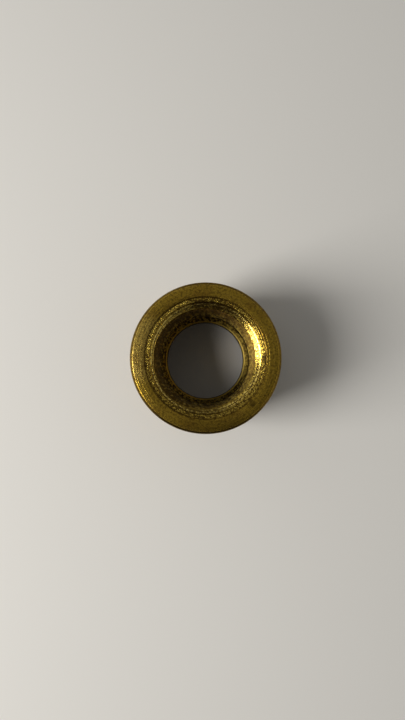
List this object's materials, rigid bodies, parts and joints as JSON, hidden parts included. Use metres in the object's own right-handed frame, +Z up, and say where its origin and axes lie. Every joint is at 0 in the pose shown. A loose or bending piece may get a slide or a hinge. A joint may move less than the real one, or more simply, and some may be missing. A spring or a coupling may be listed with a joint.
{
  "type": "thread adapter",
  "caption": "Round brass thread adapter: a bush with a plain rim, a parallel pipe thread outside, and a smaller one in its countersunk bore.",
  "frame": {"origin": "centre of the lower end, on the axis, where the adapter stands", "axes": "+Z up along the axis, out of the countersunk mouth of the inner thread; the solid is the same all round, so +X is any direction across the axis, and the visual model's right-hand grooves cross +X at the heights of the solid's rings"},
  "size_m": [0.0132, 0.0132, 0.01],
  "materials": {
    "brass": "satin"
  },
  "bodies": {
    "root": {"adapter": "brass"}
  },
  "joints": []
}
